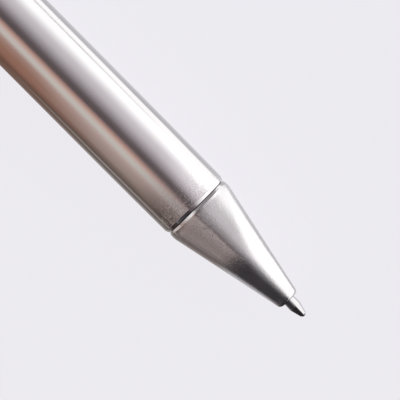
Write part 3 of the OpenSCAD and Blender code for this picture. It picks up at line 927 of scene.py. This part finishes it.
def set_barrel_cards():
    """What the barrel mirrors: light on the right, a dim strip above, beige and copper boards on the left."""
    curved_card(
        "cool_side", (STAGE_REAR, 22),
        ((-9, "#6C6163"), (0, "#7D7376"), (14, "#BAB3B7"), (29, "#E8E2E7"), (46, "#FFFBFF"),
         (60, WHITE, 1.4), (72, WHITE, 1.8), (96, WHITE, 1.8)),
        FAR, (6, 10), ((-40, 0.93), (-8, 1.0), (-1, 1.0), (3, 1.46), (6, 1.6)),
    )
    curved_card("dim_top", (STAGE_REAR, 22), ((-24, "#6C6163"), (-4, "#6C6163")), FAR + 4)
    curved_card(
        "copper_side", (-104, -28),
        ((-112, "#A87969"), (-76, "#AF836F"), (-55, "#C4A092"), (-42, "#CDAEA2")),
        FAR - 4, (24, 24), fade=14.0,
    )
    curved_card(
        "warm_side", (STAGE_REAR, 6),
        ((-96, "#A4928A"), (-62, "#CCB6AE"), (-51, "#DECAC3"), (-45, "#E7E2DA"), (-38, "#EAE5DC"),
         (-32, "#ECDCD1"), (-24, "#DFB2A3"), (-14, "#75686A")),
        FAR, (6, 16),
    )
    curved_card(
        "barrel_end_side", (-26, 8),
        ((-96, "#958883"), (-64, "#A59794"), (-30, "#C0B2AF"), (-12, "#827777")),
        FAR + 3,
    )
    curved_card(
        "dim_end", (-5, 12), ((-18, "#5E5455"), (-4, "#5E5455"), (6, "#857D80")), FAR - 3, (6, 6), fade=8.0
    )
    curved_card(
        "dark_flag", (-7, 14),
        ((-112, "#4E4541"), (-80, "#594F4B"), (-66, "#786D67"), (-48, "#978B87")),
        FAR - 6, (13, 6), fade=14.0,
    )


def set_bevel_cards():
    """What the bevels at the joint mirror: boards far behind and ahead, and two upright cards beside it."""
    curved_card(
        "rear_light", (-700, -126),
        ((-96, "#F4F0F0"), (-64, "#FAF6F6"), (-50, WHITE, 1.15), (-36, WHITE, 1.5),
         (-22, WHITE, 1.4), (-12, "#B0AAAB"), (8, "#AAA5A7"), (60, "#AFACAE"), (96, "#AEABAD")),
        FAR,
    )
    curved_card("rear_grey_side", (-170, -88), ((26, "#AFACAE"), (96, "#A8A5A7")), FAR - 8, (4, 10))
    curved_card(
        "bevel_cool_side", (62, 140),
        ((-16, "#6E6668"), (-7, "#7A7375"), (0, "#A59EA0"), (7, "#D4CED0"), (15, "#FBF8FA"),
         (24, WHITE, 1.2), (36, WHITE, 1.5), (52, WHITE, 1.8), (112, WHITE, 1.9)),
        NEAR - 2, (12, 4),
    )
    standing_card("joint_light", (-2.8, -14.8), 5.4, 90, "#F0E6E2")
    standing_card("joint_shade", (2.9, -8.7), 13.2, -69, "#3A302E")


def set_nose_cards():
    """What the nose and tip mirror: light on the right, grey on the left, a hard dark half at the tip."""
    curved_card(
        "nose_cool_side", (3, STAGE_FRONT),
        ((-15, "#8A8184"), (-4, "#AAA4A6"), (4, "#BBB6B8"), (17, "#E0DCDF"), (36, "#EBE8EA"),
         (52, "#F1EEF0"), (66, WHITE, 1.2), (80, WHITE, 1.6), (112, WHITE, 1.8)),
        NEAR, gains=((36, 1.04), (50, 1.08)),
    )
    curved_card("nose_line", (3, STAGE_FRONT), ((-28, "#746B6D"), (-8, "#746B6D")), NEAR + 4)
    curved_card(
        "nose_grey_side", (3, 62),
        ((-114, "#8A7E7B"), (-92, "#B3A6A2"), (-64, "#A89A97"), (-36, "#BEB1AE"), (-27, "#D2C5C2"),
         (-19, "#C4B6B3")),
        NEAR + 3,
    )
    halves = (
        (-98, "#454246"), (-26, "#454246"), (-12, "#716F73"), (0, "#ACA9AC"), (12, "#EEECEE"),
        (24, WHITE, 1.4), (36, WHITE, 1.9), (112, WHITE, 1.9),
    )
    pale_foot = (-116, "#B4B0B2")
    curved_card("front_halves", (66, 420), halves, NEAR + 6)
    curved_card("tip_halves", (14.4, 31), (pale_foot, *halves), CLOSE, (2.4, 4), lean=0.02)
    curved_card(
        "tip_white", (20.4, 50), ((12, WHITE, 1.5), (40, WHITE, 1.9), (112, WHITE, 1.9)),
        CLOSE - 0.5, (2, 4), lean=-0.2, fade=10.0,
    )
    curved_card(
        "tip_step", (26.6, 46),
        ((-116, "#363435"), (6, "#363435"), (18, WHITE, 1.8), (112, WHITE, 1.8)),
        CLOSE - 1, (1, 4),
    )


def set_floor_cards():
    """What the pen's edges mirror in the floor: pale and white on the right, warm and dark on the left."""
    floor_card("near_floor", (STAGE_REAR, 3), ((4, "#E2E1E5"), (12, "#E2E1E5"), (18.5, "#D4D3D7")))
    floor_card("nose_near_floor", (1, STAGE_FRONT), ((2, "#E6E5E9"), (18.5, "#E6E5E9")))
    floor_card("cool_floor", (STAGE_REAR, STAGE_FRONT), ((18.7, WHITE, 1.6), (210, WHITE, 1.6)))
    floor_card("far_line", (-90, -12), ((54, "#E4E3E7"), (82, "#E4E3E7")), (4, 24), 0.08)
    floor_card(
        "warm_floor", (STAGE_REAR, 14),
        ((-210, "#A08D84"), (-66, "#94827A"), (-34, "#7B6D65"), (-26.5, "#675D56"), (-23, "#6A6059"),
         (-19.8, "#E2D8D1"), (-16.4, "#4E4744"), (-14.4, "#4E4744"), (-12.1, "#B4ADA9"), (-4, "#8A8481")),
        (4, 6),
    )
    floor_card(
        "copper_floor", (-90, -16),
        ((-210, "#A87969"), (-66, "#A47664"), (-34, "#8A6656"), (-24, "#79594B"), (-15, "#85675A"),
         (-4, "#856A5E")),
        (26, 26), 0.08,
    )
    floor_card("flag_floor", (-6, 4), ((-210, "#544B47"), (-26, "#544B47")), (6, 3), 0.08)
    floor_card(
        "nose_floor", (2, STAGE_FRONT),
        ((-210, "#ABA09B"), (-48, "#988C89"), (-26, "#7E7573"), (-17, "#726967"), (-12, "#938987"),
         (-7, "#BEB6B3"), (-2, "#D2CCCA")),
        lift=0.11,
    )
    floor_card("nose_end_floor", (11, 23), ((-14, "#CCCBCF"), (-2, "#DDDCE0")), (3, 1.5), 0.125)
    floor_card("tip_floor", (23, 80), ((-11, "#2C2A2B"), (0, "#2C2A2B")), (1.5, 4), 0.14)
    floor_card("front_floor", (21, 420), ((-300, "#454246"), (-13, "#454246")), (22, 4), 0.14)
    floor_card(
        "nose_foot_floor", (3.5, 27),
        ((-140, "#CFC4C0"), (-60, "#CFC4C0"), (-34, "#A89E9A"), (-20, "#7A7170")),
        (3, 19), 0.12,
    )
    floor_card("rear_floor", (-420, -126), ((-300, WHITE, 1.3), (-4, WHITE, 1.3)), lift=0.14)


def set_room(scene, stage):
    """Even dim light from all sides, and colours shown as they are."""
    world = bpy.data.worlds.new("room")
    world.use_nodes = True
    world.node_tree.nodes["Background"].inputs["Color"].default_value = stage.room
    world.node_tree.nodes["Background"].inputs["Strength"].default_value = ROOM_LIGHT
    scene.world = world
    scene.view_settings.view_transform = "Standard"
    scene.view_settings.look = "None"


def set_camera(scene, stage):
    """Camera over the pen: it leans by tilt towards the rear, and the axis falls by turn in the picture."""
    lean, turn = stage.tilt, stage.turn
    back = Vector((-math.sin(lean), 0, math.cos(lean)))
    along = Vector((math.cos(lean), 0, math.sin(lean)))
    across = back.cross(along)
    right = along * math.cos(turn) + across * math.sin(turn)
    up = across * math.cos(turn) - along * math.sin(turn)
    data = bpy.data.cameras.new("photo_camera")
    data.sensor_width = 36
    data.lens = stage.lens
    data.clip_start = 0.01
    camera = bpy.data.objects.new("photo_camera", data)
    scene.collection.objects.link(camera)
    pose = Matrix((right, up, back)).transposed().to_4x4()
    pose.translation = Vector(stage.aim) + back * stage.distance
    camera.matrix_world = pose
    scene.camera = camera


class PEN_PT_sidebar(bpy.types.Panel):
    """Lists the pen's steps, sizes and colours"""
    bl_idname = "PEN_PT_sidebar"
    bl_label = "Ballpoint Pen"
    bl_space_type = "VIEW_3D"
    bl_region_type = "UI"
    bl_category = "Pen"

    def draw(self, context):
        for step in STEPS:
            self.layout.operator(step.bl_idname)
        for group in (context.scene.pen_sizes, context.scene.pen_colours, context.scene.pen_stage):
            column = self.layout.column(align=True)
            for name in group.bl_rna.properties.keys():
                if name not in ("rna_type", "name"):
                    column.prop(group, name)


STEPS = (
    PEN_OT_barrel, PEN_OT_nose, PEN_OT_writing_tip, PEN_OT_trim, PEN_OT_clip, PEN_OT_inside, PEN_OT_stage,
)
CLASSES = (PenSizes, PenColours, PenStage, *STEPS, PEN_PT_sidebar)


def register():
    for kind in CLASSES:
        bpy.utils.register_class(kind)
    bpy.types.Scene.pen_sizes = bpy.props.PointerProperty(type=PenSizes)
    bpy.types.Scene.pen_colours = bpy.props.PointerProperty(type=PenColours)
    bpy.types.Scene.pen_stage = bpy.props.PointerProperty(type=PenStage)


def unregister():
    del bpy.types.Scene.pen_stage
    del bpy.types.Scene.pen_colours
    del bpy.types.Scene.pen_sizes
    for kind in reversed(CLASSES):
        bpy.utils.unregister_class(kind)


def main():
    """Makes the pen's pieces and the stage."""
    register()
    bpy.ops.pen.barrel()
    bpy.ops.pen.nose()
    bpy.ops.pen.writing_tip()
    bpy.ops.pen.trim()
    bpy.ops.pen.clip()
    bpy.ops.pen.inside()
    bpy.ops.pen.stage()


if __name__ == "__main__":
    main()
